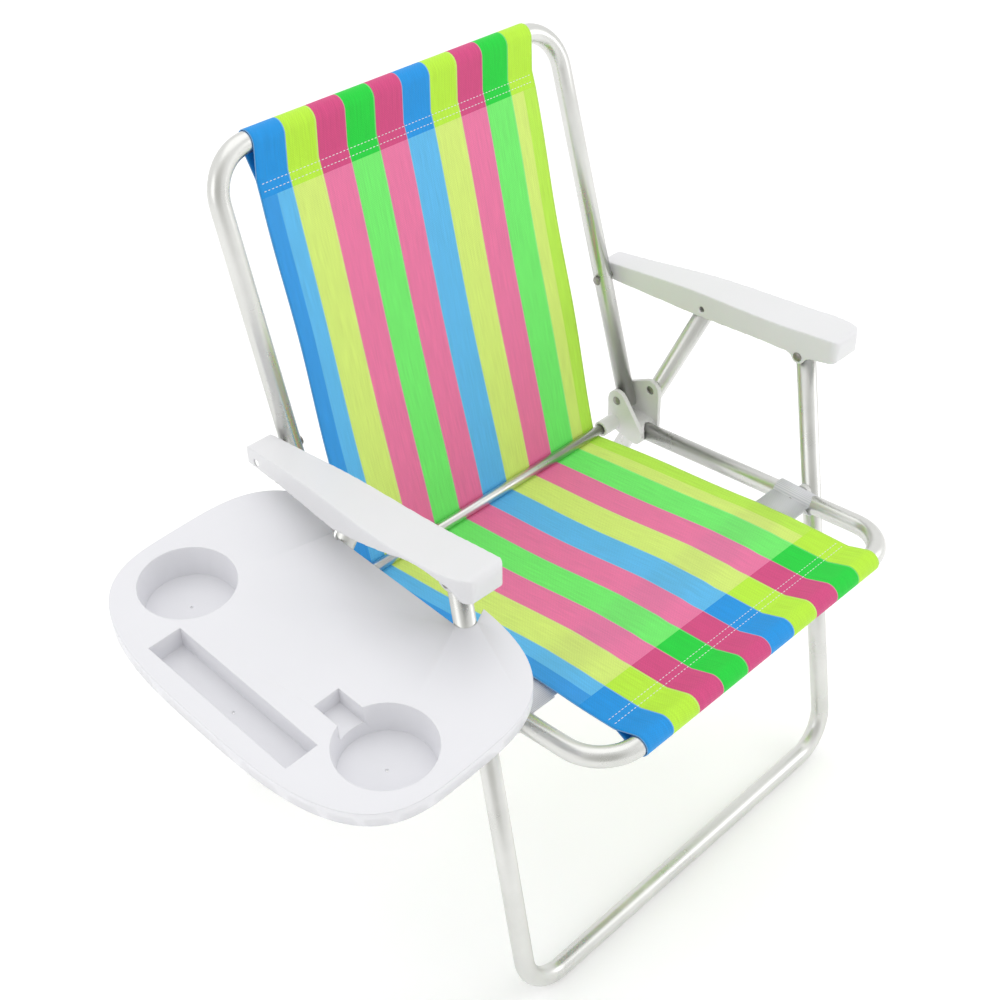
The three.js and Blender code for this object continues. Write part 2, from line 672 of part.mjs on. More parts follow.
// Where the rear leg passes through the tray, rearward of the front leg.
const REAR_LEG_IN_TRAY = (() => {
  const up = new THREE.Vector3(0, 0, 1).transformDirection(TRAY_TURN);
  const start = new THREE.Vector3(-LEG_X, SLIDE_PIN.x, SLIDE_PIN.y);
  const down = new THREE.Vector3(0, REAR_LEG_DOWN.x, REAR_LEG_DOWN.y);
  const distance = TRAY_ORIGIN.clone().sub(start).dot(up) / down.dot(up);
  return start.addScaledVector(down, distance).distanceTo(TRAY_ORIGIN);
})();
const TRAY_MIDDLE = REAR_LEG_IN_TRAY / 2;

// A rounded D: two half superellipses that share the tray's widest line.
function trayShape(inset) {
  const half = TRAY_LENGTH / 2 - inset;
  const outer = TRAY_OUT - TRAY_WIDEST - inset;
  const inner = TRAY_IN + TRAY_WIDEST - inset;
  const points = Array.from({ length: TRAY_OUTLINE_POINTS }, (_, i) => {
    const angle = (2 * Math.PI * i) / TRAY_OUTLINE_POINTS;
    const [c, s] = [Math.cos(angle), Math.sin(angle)];
    const [reach, power] = c < 0 ? [outer, TRAY_OUTER_POWER] : [inner, TRAY_INNER_POWER];
    const bulge = (value, size) => Math.sign(value) * size * Math.abs(value) ** (2 / power);
    return new THREE.Vector2(bulge(c, reach) - TRAY_WIDEST, bulge(s, half) + TRAY_MIDDLE);
  });
  return new THREE.Shape(points);
}

// The notch that the legs sit in, cut down to a depth. It is open towards the chair, along each
// leg's way out, and the deeper it goes the more room it leaves for the front leg's slope.
function trayNotchShape(depth) {
  const front = TUBE_R + NOTCH_CLEAR;
  const rear = (front + 1) / Math.cos(rad(REAR_LEG_LEAN));
  const drift = depth * Math.tan(rad(FRONT_LEG_LEAN + TRAY_PITCH));
  const [exitFront, exitRear] = [rad(NOTCH_EXIT_FRONT), rad(NOTCH_EXIT_REAR)];
  const mouth = TRAY_IN + 20;
  const shape = new THREE.Shape();
  shape.moveTo(mouth, REAR_LEG_IN_TRAY + mouth * Math.tan(exitRear) + rear / Math.cos(exitRear));
  shape.lineTo(mouth, mouth * Math.tan(exitFront) - front / Math.cos(exitFront) - drift);
  shape.absarc(0, -drift, front, exitFront - Math.PI / 2, -Math.PI, true);
  shape.lineTo(-front, REAR_LEG_IN_TRAY);
  shape.absarc(0, REAR_LEG_IN_TRAY, rear, Math.PI, exitRear + Math.PI / 2, true);
  shape.closePath();
  return shape;
}

function sideTray() {
  const shell = cut(
    block(trayShape(0), -TRAY_SKIRT, 0),
    block(trayShape(TRAY_WALL), -TRAY_SKIRT - 1, -TRAY_PLATE),
  );
  const cupFloor = -CUP_DEPTH;
  const cupUnder = cupFloor - TRAY_WALL;
  const cups = [-1, 1].map((end) => TRAY_MIDDLE + (end * CUP_SPACING) / 2);
  const [notchWidth, notchReach, notchDepth] = HANDLE_NOTCH;
  const [pocketWidth, pocketLength, pocketDepth] = POCKET_SIZE;
  const cupWalls = cups.map((y) => upright(
    CUP_R + TRAY_WALL, CUP_R - CUP_DRAFT + TRAY_WALL, -CUP_FROM_LEGS, y, cupUnder, -1,
  ));
  const cupRooms = cups.map((y) => upright(CUP_R, CUP_R - CUP_DRAFT, -CUP_FROM_LEGS, y, cupFloor, 1));
  const handleWall = box(
    notchWidth + 2 * TRAY_WALL, notchReach + TRAY_WALL, notchDepth + TRAY_WALL - 1,
    -CUP_FROM_LEGS, cups[0] + (notchReach + TRAY_WALL) / 2, -notchDepth - TRAY_WALL,
  );
  const handleRoom = box(
    notchWidth, notchReach, notchDepth + 1, -CUP_FROM_LEGS, cups[0] + notchReach / 2, -notchDepth,
  );
  const pocketWall = box(
    pocketWidth + 2 * TRAY_WALL, pocketLength + 2 * TRAY_WALL, pocketDepth + TRAY_WALL - 1,
    -POCKET_FROM_LEGS, TRAY_MIDDLE, -pocketDepth - TRAY_WALL,
  );
  const pocketRoom = box(
    pocketWidth, pocketLength, pocketDepth + 1, -POCKET_FROM_LEGS, TRAY_MIDDLE, -pocketDepth,
  );
  const drains = [...cups.map((y) => [-CUP_FROM_LEGS, y]), [-POCKET_FROM_LEGS, TRAY_MIDDLE]]
    .map(([x, y]) => upright(DRAIN_R, DRAIN_R, x, y, cupUnder - 1, 1 - pocketDepth, 8));
  const tray = cut(
    joined(shell, ...cupWalls, handleWall, pocketWall),
    ...cupRooms,
    handleRoom,
    pocketRoom,
    ...drains,
    block(trayNotchShape(TRAY_PLATE), -TRAY_SKIRT - 1, 1, 8),
    block(trayNotchShape(TRAY_SKIRT), -TRAY_SKIRT - 1, -TRAY_PLATE, 8),
  );
  const turned = tray.transform(TRAY_TURN.elements);
  return turned.translate(TRAY_ORIGIN.toArray());
}

// --------------------------------------------------------------------- assembly

const chair = new THREE.Group();
chair.name = 'beach_chair';

chair.add(named('back_frame', backFrame(), metal(ALUMINIUM, 0.38)));
chair.add(named('seat_frame', seatFrame(), metal(ALUMINIUM, 0.38)));
chair.add(named('front_leg_frame', frontLegFrame(), metal(ALUMINIUM, 0.38)));
chair.add(named('rear_leg_frame', rearLegFrame(), metal(ALUMINIUM, 0.38)));
chair.add(named('cross_tube', crossTube(), metal(ALUMINIUM, 0.38)));
chair.add(named('back_sling', backSling(), soft(0xb2e046, 0.85)));
chair.add(named('seat_sling', seatSling(), soft(0x1e90d6, 0.85)));
chair.add(named('support_strap', supportStrap(), soft(0xe4e4e8, 0.8)));
chair.add(named('side_tray', sideTray(), soft(WHITE_PLASTIC, 0.45)));

// The sitter's right-hand side is at -X.
for (const [hand, side] of [['right', -1], ['left', 1]]) {
  chair.add(named(`joint_block_${hand}`, jointBlock(side), soft(WHITE_PLASTIC, 0.5)));
  chair.add(named(`armrest_${hand}`, armrest(side), soft(WHITE_PLASTIC, 0.45)));
  chair.add(named(`leg_spacer_${hand}`, legSpacer(side), soft(WHITE_PLASTIC, 0.5)));
  for (const [name, center, head, tail] of RIVETS) {
    const solid = rivet(center, side * head, side * tail);
    chair.add(named(`${name}_${hand}`, solid, metal(RIVET_STEEL, 0.45)));
  }
}

// The origin is the middle of the bounding box's bottom face.
const bounds = new THREE.Box3().setFromObject(chair);
const middle = bounds.getCenter(new THREE.Vector3());
chair.position.set(-middle.x, -middle.y, -bounds.min.z);
chair.updateMatrixWorld(true);

export default chair;
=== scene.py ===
"""Folding aluminium beach chair with a striped mesh sling and a white side tray."""

import json
import math

import bmesh
import bpy
import numpy as np
from mathutils import Matrix, Vector


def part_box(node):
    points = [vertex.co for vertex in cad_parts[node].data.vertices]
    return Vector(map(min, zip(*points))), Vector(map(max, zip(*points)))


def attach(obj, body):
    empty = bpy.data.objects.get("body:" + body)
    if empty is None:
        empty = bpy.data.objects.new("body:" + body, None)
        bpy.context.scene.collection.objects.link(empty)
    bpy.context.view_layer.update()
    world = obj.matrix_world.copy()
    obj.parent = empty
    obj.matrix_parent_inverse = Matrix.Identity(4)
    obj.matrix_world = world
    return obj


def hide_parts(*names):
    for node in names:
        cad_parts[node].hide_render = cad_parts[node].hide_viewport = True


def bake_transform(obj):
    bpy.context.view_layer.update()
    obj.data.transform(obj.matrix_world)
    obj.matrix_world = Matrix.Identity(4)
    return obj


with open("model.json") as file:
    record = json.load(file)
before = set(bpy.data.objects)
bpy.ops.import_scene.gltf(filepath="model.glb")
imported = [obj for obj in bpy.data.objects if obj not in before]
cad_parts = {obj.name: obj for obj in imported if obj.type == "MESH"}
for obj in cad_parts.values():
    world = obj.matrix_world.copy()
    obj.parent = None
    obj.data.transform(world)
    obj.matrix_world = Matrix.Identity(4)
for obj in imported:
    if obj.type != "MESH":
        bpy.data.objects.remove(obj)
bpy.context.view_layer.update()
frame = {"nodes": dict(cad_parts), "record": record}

HANDS = ("right", "left")
MM = 0.001

# ------------------------------------------------------------------ sizes, metres

TUBE_R = 11.1 * MM
TUBE_WALL = 1.2 * MM
BEND_R = 50 * MM
CROSS_TUBE_R = 6.35 * MM
TUBE_PAST_RIVET = 12 * MM
RAIL_BEHIND = 233.5 * MM  # crossing of rail and leg to the rail's rear end

SLING_WIDTH = 392 * MM
CLOTH = 0.9 * MM  # thickness of one layer
SLEEVE_R = TUBE_R + 1.1 * MM  # middle of the cloth round a bar
LAYER_GAP = 0.1 * MM  # a layer's face to the plane between two layers, or to a stitch's middle
CROSS_TUBE_GAP = 0.4 * MM  # between the cloth and the cross tube
CLOTH_STEP = 4 * MM
STRIPES = 10
BACK_HEM = 58 * MM  # top bar to the end of the double layer
BACK_SEAM = 48 * MM  # top bar to the middle of the two seams
SEAT_HEM = 76 * MM
SEAT_SEAM = 37 * MM
SEAT_HEM_RISE = 6.3 * MM  # cloth above the rails' line at the hem
SEAT_SEAM_RISE = 4.5 * MM
OVER_STRAP = (0.9 * MM, 3.8 * MM)  # beyond one thickness, at the strap's rear and front edges
BACK_SLACK = 4 * MM  # how far each span hangs behind its straight line
REAR_SEAT_SLACK = 3 * MM
FRONT_SEAT_SLACK = 1 * MM
EDGE_WAVE = 1.2 * MM  # how far the side edges wander
EDGE_WAVES = 9  # half waves along the whole cloth
SEAM_PAIR = 8 * MM  # between two parallel seams
STITCH = 3.6 * MM
STITCH_GAP = 1.2 * MM
STITCH_HALF_WIDTH = 0.5 * MM
STITCH_HALF_HEIGHT = 0.35 * MM
SEAM_MARGIN = 8 * MM  # side edges that carry no stitch, both together

STRAP_WIDTH = 50 * MM
STRAP_THICK = 1.2 * MM
STRAP_RISE = 4.6 * MM  # flat run above the rails' centreline
STRAP_GAP = 0.5 * MM  # round the rails
STRAP_TAIL = (4 * MM, 34 * MM)  # start and end of the sewn tail, beyond the loop

# ----------------------------------------------------------- places, from the frame

joints = {joint["name"]: joint for joint in frame["record"]["behaviour"]["joints"]}


def side_view(point):
    """A point seen from the side: (y, z)."""
    return Vector((point[1], point[2]))


def middle_of(node):
    low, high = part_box(node)
    return (Vector(low) + Vector(high)) / 2


def corner_of(node, y_end, z_end):
    """The centre of the bar at one end of a frame's box, in the side view."""
    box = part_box(node)
    y = box[0][1] + TUBE_R if y_end == "front" else box[1][1] - TUBE_R
    z = box[0][2] + TUBE_R if z_end == "low" else box[1][2] - TUBE_R
    return Vector((y, z))


MID_X = middle_of("seat_frame").x
FRAME_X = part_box("seat_frame")[1][0] - MID_X - TUBE_R
LEG_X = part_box("rear_leg_frame")[1][0] - MID_X - TUBE_R
back_pivot = side_view(joints["back_fold"]["pos_m"])
crossing = side_view(joints["front_leg_fold"]["pos_m"])
top_bar = corner_of("back_frame", "rear", "high")
front_bar = corner_of("seat_frame", "front", "high")
front_foot = corner_of("front_leg_frame", "front", "low")
rear_foot = corner_of("rear_leg_frame", "rear", "low")
cross_tube = side_view(middle_of("cross_tube"))
arm_front = side_view(middle_of("armrest_front_rivet_left"))
slide_pin = side_view(middle_of("rear_leg_slide_pin_left"))

back_up = (top_bar - back_pivot).normalized()
back_front = Vector((-back_up.y, back_up.x))
rail_forward = (front_bar - crossing).normalized()
rail_up = Vector((rail_forward.y, -rail_forward.x))
rail_end = crossing - rail_forward * RAIL_BEHIND


def place(x, point):
    """A side-view point at a distance x from the chair's middle plane."""
    return Vector((MID_X + x, point.x, point.y))


# ------------------------------------------------------------------------ materials


def linear(hex_value):
    """An sRGB hex colour as linear RGBA."""
    channels = [int(hex_value[i:i + 2], 16) / 255 for i in (1, 3, 5)]
    return [c / 12.92 if c <= 0.04045 else ((c + 0.055) / 1.055) ** 2.4 for c in channels] + [1]


def add_node(tree, kind, settings=None, inputs=None):
    """A node with its settings, and its inputs set or linked."""
    node = tree.nodes.new(kind)
    for name, value in (settings or {}).items():
        setattr(node, name, value)
    for name, value in (inputs or {}).items():
        if isinstance(value, bpy.types.NodeSocket):
            tree.links.new(value, node.inputs[name])
        else:
            node.inputs[name].default_value = value
    return node


def new_material(name):
    material = bpy.data.materials.new(name)
    material.use_nodes = True
    tree = material.node_tree
    tree.nodes.clear()
    return material, tree


def drawn_aluminium():
    """Bare drawn tube: bright satin metal with a fine grain and a cloudy haze from handling."""
    material, tree = new_material("drawn_aluminium_tube")
    where = add_node(tree, "ShaderNodeTexCoord")
    # Haze patches about 60 mm across, and grain of about 1.1 mm.
    haze = add_node(tree, "ShaderNodeTexNoise", None, {
        "Vector": where.outputs["Object"], "Scale": 16.0, "Detail": 4.0, "Roughness": 0.6,
    })
    grain = add_node(tree, "ShaderNodeTexNoise", None, {
        "Vector": where.outputs["Object"], "Scale": 900.0, "Detail": 2.0,
    })
    tone = add_node(tree, "ShaderNodeMix", {"data_type": "RGBA"}, {
        "Factor": haze.outputs["Fac"], "A": linear("#c9cac6"), "B": linear("#e6e6e3"),
    })
    rough = add_node(tree, "ShaderNodeMapRange", None, {
        "Value": haze.outputs["Fac"], "From Min": 0.3, "From Max": 0.7,
        "To Min": 0.24, "To Max": 0.36,
    })
    bump = add_node(tree, "ShaderNodeBump", None, {
        "Height": grain.outputs["Fac"], "Strength": 0.12, "Distance": 0.0002,
    })
    shader = add_node(tree, "ShaderNodeBsdfPrincipled", None, {
        "Base Color": tone.outputs["Result"], "Metallic": 1.0,
        "Roughness": rough.outputs["Result"], "Normal": bump.outputs["Normal"],
    })
    add_node(tree, "ShaderNodeOutputMaterial", None, {"Surface": shader.outputs["BSDF"]})
    return material


def rivet_metal():
    """Semi-tubular rivet, tumbled and slightly oxidised: duller and darker than the tube."""
    material, tree = new_material("tumbled_aluminium_rivet")
    where = add_node(tree, "ShaderNodeTexCoord")
    speck = add_node(tree, "ShaderNodeTexNoise", None, {
        "Vector": where.outputs["Object"], "Scale": 600.0, "Detail": 3.0,
    })
    tone = add_node(tree, "ShaderNodeMix", {"data_type": "RGBA"}, {
        "Factor": speck.outputs["Fac"], "A": linear("#77746f"), "B": linear("#b4b2ad"),
    })
    shader = add_node(tree, "ShaderNodeBsdfPrincipled", None, {
        "Base Color": tone.outputs["Result"], "Metallic": 1.0, "Roughness": 0.42,
    })
    add_node(tree, "ShaderNodeOutputMaterial", None, {"Surface": shader.outputs["BSDF"]})
    return material


def moulded_polypropylene(name, light, shade, roughness):
    """Injection-moulded white polypropylene: slightly waxy, with a very fine spark-eroded grain."""
    material, tree = new_material(name)
    where = add_node(tree, "ShaderNodeTexCoord")
    cloud = add_node(tree, "ShaderNodeTexNoise", None, {
        "Vector": where.outputs["Object"], "Scale": 9.0, "Detail": 3.0,
    })
    # Mould grain of about 1 mm, a little coarser than the real one.
    grain = add_node(tree, "ShaderNodeTexNoise", None, {
        "Vector": where.outputs["Object"], "Scale": 1000.0, "Detail": 2.0,
    })
    tone = add_node(tree, "ShaderNodeMix", {"data_type": "RGBA"}, {
        "Factor": cloud.outputs["Fac"], "A": linear(shade), "B": linear(light),
    })
    rounded = add_node(tree, "ShaderNodeBevel", {"samples": 4}, {"Radius": 0.0012})
    bump = add_node(tree, "ShaderNodeBump", None, {
        "Height": grain.outputs["Fac"], "Strength": 0.08, "Distance": 0.0002,
        "Normal": rounded.outputs["Normal"],
    })
    shader = add_node(tree, "ShaderNodeBsdfPrincipled", None, {
        "Base Color": tone.outputs["Result"], "Roughness": roughness, "IOR": 1.49,
        "Subsurface Weight": 0.12, "Subsurface Radius": (0.004, 0.004, 0.004),
        "Subsurface Scale": 1.0, "Normal": bump.outputs["Normal"],
    })
    add_node(tree, "ShaderNodeOutputMaterial", None, {"Surface": shader.outputs["BSDF"]})
    return material


BLUE, LIME, PINK, GREEN = range(4)
STRIPE_ORDER = (BLUE, LIME, PINK, GREEN, PINK, BLUE, LIME, PINK, GREEN, LIME)
ONE_LAYER = ("#6ed2ff", "#ebff8b", "#fd8bbc", "#86ff80")
TWO_LAYERS = ("#009ff3", "#c8fe3b", "#e34b8a", "#00e23b")


def striped(tree, across, palette):
    """Stripes of equal width from a 0 to 1 coordinate."""
    node = add_node(tree, "ShaderNodeValToRGB", None, {"Fac": across})
    ramp = node.color_ramp
    ramp.interpolation = "CONSTANT"
    while len(ramp.elements) < STRIPES:
        ramp.elements.new(1.0)
    for i, kind in enumerate(STRIPE_ORDER):
        ramp.elements[i].position = i / STRIPES
        ramp.elements[i].color = linear(palette[kind])
    return node.outputs["Color"]


def sling_mesh(back_hem_at, seat_hem_at):
    """Woven PVC-coated polyester mesh. One layer lets light through and is pale, two are deep."""
    material, tree = new_material("coated_polyester_sling_mesh")
    uv = add_node(tree, "ShaderNodeUVMap", {"uv_map": "cloth"})
    split = add_node(tree, "ShaderNodeSeparateXYZ", None, {"Vector": uv.outputs["UV"]})
    across, down = split.outputs["X"], split.outputs["Y"]

    def math_node(operation, a, b=0.0):
        node = add_node(tree, "ShaderNodeMath", {"operation": operation}, {0: a, 1: b})
        return node.outputs["Value"]

    share = math_node("DIVIDE", across, SLING_WIDTH)
    pale = striped(tree, share, ONE_LAYER)
    deep = striped(tree, share, TWO_LAYERS)
    from_edge = math_node("ABSOLUTE", math_node("SUBTRACT", share, 0.5))
    side_hem = math_node("GREATER_THAN", from_edge, 0.5 - 0.5 / STRIPES)
    back_hem = math_node("LESS_THAN", down, back_hem_at)
    seat_hem = math_node("GREATER_THAN", down, seat_hem_at)
    sleeves = math_node("MAXIMUM", back_hem, seat_hem)
    hems = math_node("MAXIMUM", sleeves, math_node("MULTIPLY", side_hem, 0.7))
    body = add_node(tree, "ShaderNodeMix", {"data_type": "RGBA"}, {
        "Factor": hems, "A": pale, "B": deep,
    })

    # Warp threads: long thin streaks, 1.6 mm apart, drawn coarser than the real 0.6 mm thread.
    thread_place = add_node(tree, "ShaderNodeCombineXYZ", None, {
        "X": math_node("MULTIPLY", across, 620.0), "Y": math_node("MULTIPLY", down, 24.0),
    })
    thread = add_node(tree, "ShaderNodeTexNoise", None, {
        "Vector": thread_place.outputs["Vector"], "Scale": 1.0, "Detail": 3.0, "Roughness": 0.65,
    })
    # Open weave: a fine check of threads and holes, 1.2 mm apart.
    check_place = add_node(tree, "ShaderNodeCombineXYZ", None, {
        "X": math_node("MULTIPLY", across, 833.0), "Y": math_node("MULTIPLY", down, 833.0),
    })
    check = add_node(tree, "ShaderNodeTexChecker", None, {
        "Vector": check_place.outputs["Vector"], "Scale": 1.0,
        "Color1": (1.0, 1.0, 1.0, 1.0), "Color2": (0.8, 0.8, 0.8, 1.0),
    })
    streak = add_node(tree, "ShaderNodeMapRange", None, {
        "Value": thread.outputs["Fac"], "From Min": 0.3, "From Max": 0.7,
        "To Min": 0.91, "To Max": 1.05,
    })
    threads = add_node(tree, "ShaderNodeMix", {"data_type": "RGBA", "blend_type": "MULTIPLY"}, {
        "Factor": 1.0, "A": body.outputs["Result"], "B": streak.outputs["Result"],
    })
    woven = add_node(tree, "ShaderNodeMix", {"data_type": "RGBA", "blend_type": "MULTIPLY"}, {
        "Factor": 0.5, "A": threads.outputs["Result"], "B": check.outputs["Color"],
    })
    # A pale selvedge thread where two stripes meet.
    place_in_stripe = math_node("FRACT", math_node("MULTIPLY", share, float(STRIPES)))
    to_join = math_node("ABSOLUTE", math_node("SUBTRACT", place_in_stripe, 0.5))
    join = math_node("MULTIPLY", math_node("GREATER_THAN", to_join, 0.484), 0.22)
    colour = add_node(tree, "ShaderNodeMix", {"data_type": "RGBA"}, {
        "Factor": join, "A": woven.outputs["Result"], "B": linear("#eef4e4"),
    })
    weave_height = math_node("MULTIPLY", check.outputs["Fac"], 0.4)
    height = math_node("ADD", thread.outputs["Fac"], weave_height)
    bump = add_node(tree, "ShaderNodeBump", None, {
        "Height": height, "Strength": 0.35, "Distance": 0.0004,
    })
    shader = add_node(tree, "ShaderNodeBsdfPrincipled", None, {
        "Base Color": colour.outputs["Result"], "Roughness": 0.62, "IOR": 1.5,
        "Sheen Weight": 0.08, "Sheen Roughness": 0.4, "Normal": bump.outputs["Normal"],
    })
    glow = add_node(tree, "ShaderNodeBsdfTranslucent", None, {"Color": colour.outputs["Result"]})
    through = add_node(tree, "ShaderNodeMapRange", None, {
        "Value": sleeves, "From Min": 0.0, "From Max": 1.0, "To Min": 0.25, "To Max": 0.1,
    })
    mixed = add_node(tree, "ShaderNodeMixShader", None, {
        "Fac": through.outputs["Result"], 1: shader.outputs["BSDF"], 2: glow.outputs["BSDF"],
    })
    add_node(tree, "ShaderNodeOutputMaterial", None, {"Surface": mixed.outputs["Shader"]})
    return material


def strap_webbing():
    """White woven polyester band: matt, with ribs across its width and a little light through."""
    material, tree = new_material("woven_polyester_strap")
    uv = add_node(tree, "ShaderNodeUVMap", {"uv_map": "cloth"})
    # Ribs 2 mm apart, drawn coarser than the real 0.8 mm.
    ribs = add_node(tree, "ShaderNodeTexWave", {"bands_direction": "Y"}, {
        "Vector": uv.outputs["UV"], "Scale": 160.0, "Distortion": 0.6,
    })
    tone = add_node(tree, "ShaderNodeMix", {"data_type": "RGBA"}, {
        "Factor": ribs.outputs["Fac"], "A": linear("#e0e2e6"), "B": linear("#f8f8fb"),
    })
    bump = add_node(tree, "ShaderNodeBump", None, {
        "Height": ribs.outputs["Fac"], "Strength": 0.4, "Distance": 0.0004,
    })
    shader = add_node(tree, "ShaderNodeBsdfPrincipled", None, {
        "Base Color": tone.outputs["Result"], "Roughness": 0.8, "Normal": bump.outputs["Normal"],
    })
    glow = add_node(tree, "ShaderNodeBsdfTranslucent", None, {"Color": tone.outputs["Result"]})
    mixed = add_node(tree, "ShaderNodeMixShader", None, {
        "Fac": 0.25, 1: shader.outputs["BSDF"], 2: glow.outputs["BSDF"],
    })
    add_node(tree, "ShaderNodeOutputMaterial", None, {"Surface": mixed.outputs["Shader"]})
    return material


def sewing_thread():
    """White bonded polyester thread: twisted, with a low sheen."""
    material, tree = new_material("bonded_polyester_thread")
    where = add_node(tree, "ShaderNodeTexCoord")
    # Twist marks of about 0.7 mm.
    twist = add_node(tree, "ShaderNodeTexNoise", None, {
        "Vector": where.outputs["Object"], "Scale": 1500.0,
    })
    tone = add_node(tree, "ShaderNodeMix", {"data_type": "RGBA"}, {
        "Factor": twist.outputs["Fac"], "A": linear("#dfe6ea"), "B": linear("#ffffff"),
    })
    shader = add_node(tree, "ShaderNodeBsdfPrincipled", None, {
        "Base Color": tone.outputs["Result"], "Roughness": 0.6,
    })
    add_node(tree, "ShaderNodeOutputMaterial", None, {"Surface": shader.outputs["BSDF"]})
    return material


TUBE_METAL = drawn_aluminium()
RIVET_METAL = rivet_metal()
ARM_PLASTIC = moulded_polypropylene("moulded_polypropylene_armrest", "#e6e6e8", "#e0e0e2", 0.38)
TRAY_PLASTIC = moulded_polypropylene("moulded_polypropylene_tray", "#e8e8ec", "#e2e2e6", 0.34)
BLOCK_PLASTIC = moulded_polypropylene("moulded_polypropylene_joint", "#e0e0de", "#d6d6d4", 0.45)
STRAP = strap_webbing()
THREAD = sewing_thread()

# -------------------------------------------------------------------- mesh helpers

SAME_POINT = 1e-6  # metres within which two points are one
TUBE_SIDES = 40
BEND_STEPS = 14


def piece_from(mesh_work, name, material, smooth=True):
    """A finished bmesh as an object with one material."""
    mesh = bpy.data.meshes.new(name)
    mesh_work.to_mesh(mesh)
    mesh_work.free()
    mesh.materials.append(material)
    if smooth:
        mesh.shade_smooth()
    else:
        mesh.shade_flat()
    piece = bpy.data.objects.new(name, mesh)
    bpy.context.scene.collection.objects.link(piece)
    return piece


def bent_tube(name, corners, radius):
    """An open tube that follows straight runs and round bends, with a real wall."""
    work = bmesh.new()
    heading = (corners[1] - corners[0]).normalized()
    turn = heading.to_track_quat("Z", "Y").to_matrix().to_4x4()
    bmesh.ops.create_circle(
        work, segments=TUBE_SIDES, radius=radius, matrix=Matrix.Translation(corners[0]) @ turn
    )
    ring = list(work.edges)
    here = corners[0].copy()

    def extrude(offset):
        grown = bmesh.ops.extrude_edge_only(work, edges=ring)["geom"]
        points = [part for part in grown if isinstance(part, bmesh.types.BMVert)]
        bmesh.ops.translate(work, verts=points, vec=offset)
        return [part for part in grown if isinstance(part, bmesh.types.BMEdge)]

    for i in range(1, len(corners)):
        last = i == len(corners) - 1
        heading = (corners[i] - corners[i - 1]).normalized()
        ahead = heading if last else (corners[i + 1] - corners[i]).normalized()
        angle = heading.angle(ahead)
        setback = BEND_R * math.tan(angle / 2)
        stop = corners[i] - heading * setback
        ring = extrude(stop - here)
        here = stop
        if last:
            break
        axis = heading.cross(ahead).normalized()
        grown = bmesh.ops.spin(
            work, geom=ring, cent=here + axis.cross(heading) * BEND_R, axis=axis,
            angle=angle, steps=BEND_STEPS, dvec=Vector(),
        )["geom_last"]
        ring = [part for part in grown if isinstance(part, bmesh.types.BMEdge)]
        here = corners[i] + ahead * setback
    bmesh.ops.remove_doubles(work, verts=work.verts, dist=SAME_POINT)
    bmesh.ops.recalc_face_normals(work, faces=work.faces)
    outward = work.faces[0].normal.dot(work.faces[0].calc_center_median() - corners[0])
    if outward < 0:
        bmesh.ops.reverse_faces(work, faces=work.faces)
    tube = piece_from(work, name, TUBE_METAL)
    wall = tube.modifiers.new("wall", "SOLIDIFY")
    wall.thickness = TUBE_WALL
    wall.offset = -1
    return tube


def u_tube(name, half_width, end, bar):
    """Two straight sides that end at one height, joined by a bar."""
    corners = [
        place(-half_width, end), place(-half_width, bar),
        place(half_width, bar), place(half_width, end),
    ]
    return bent_tube(name, corners, TUBE_R)


def moulded(node, material, voxel, passes):
    """A plastic part from its CAD solid, remeshed and smoothed so that its edges are round."""
    work = bmesh.new()
    work.from_mesh(frame["nodes"][node].data)
    bmesh.ops.remove_doubles(work, verts=work.verts, dist=SAME_POINT)
    piece = piece_from(work, f"{node}_moulded", material)
    remesh = piece.modifiers.new("remesh", "REMESH")
    remesh.mode = "VOXEL"
    remesh.voxel_size = voxel
    soften = piece.modifiers.new("soften", "SMOOTH")
    soften.factor = 0.5
    soften.iterations = passes
    graph = bpy.context.evaluated_depsgraph_get()
    baked = bpy.data.meshes.new_from_object(piece.evaluated_get(graph))
    piece.modifiers.clear()
    piece.data = baked
    baked.shade_smooth()
    baked.materials.clear()
    baked.materials.append(material)
    return piece


def finish_piece(piece, body, slot, *nodes):
    """Hides the nodes a piece stands for and hangs the piece on the body that carries it. The slot,
    what it is made of, is not used.
    """
    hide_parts(*nodes)
    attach(piece, body)


# ------------------------------------------------------------------------- tubes

back_end = back_pivot - back_up * TUBE_PAST_RIVET
finish_piece(
    u_tube("back_tube", FRAME_X, back_end, top_bar), "back", "aluminium_tube", "back_frame"
)
finish_piece(
    u_tube("seat_rail_tube", FRAME_X, rail_end, front_bar), "seat", "aluminium_tube", "seat_frame"
)
front_leg_up = (arm_front - front_foot).normalized()
front_leg_end = arm_front + front_leg_up * TUBE_PAST_RIVET
finish_piece(
    u_tube("front_leg_tube", LEG_X, front_leg_end, front_foot),
    "front_legs", "aluminium_tube", "front_leg_frame",
)
rear_leg_end = slide_pin + (slide_pin - rear_foot).normalized() * TUBE_PAST_RIVET
finish_piece(
    u_tube("rear_leg_tube", LEG_X, rear_leg_end, rear_foot),
    "rear_legs", "aluminium_tube", "rear_leg_frame",
)
cross_half = (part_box("cross_tube")[1][0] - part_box("cross_tube")[0][0]) / 2
cross_ends = [place(-cross_half, cross_tube), place(cross_half, cross_tube)]
finish_piece(
    bent_tube("cross_tube_fine", cross_ends, CROSS_TUBE_R), "seat", "aluminium_tube", "cross_tube"
)

# ------------------------------------------------------------------- plastic parts

SPACER_GAP = 0.2 * MM  # between the strap's loop and the spacer
SPACER_FACE_X = FRAME_X + TUBE_R + STRAP_GAP + STRAP_THICK + SPACER_GAP

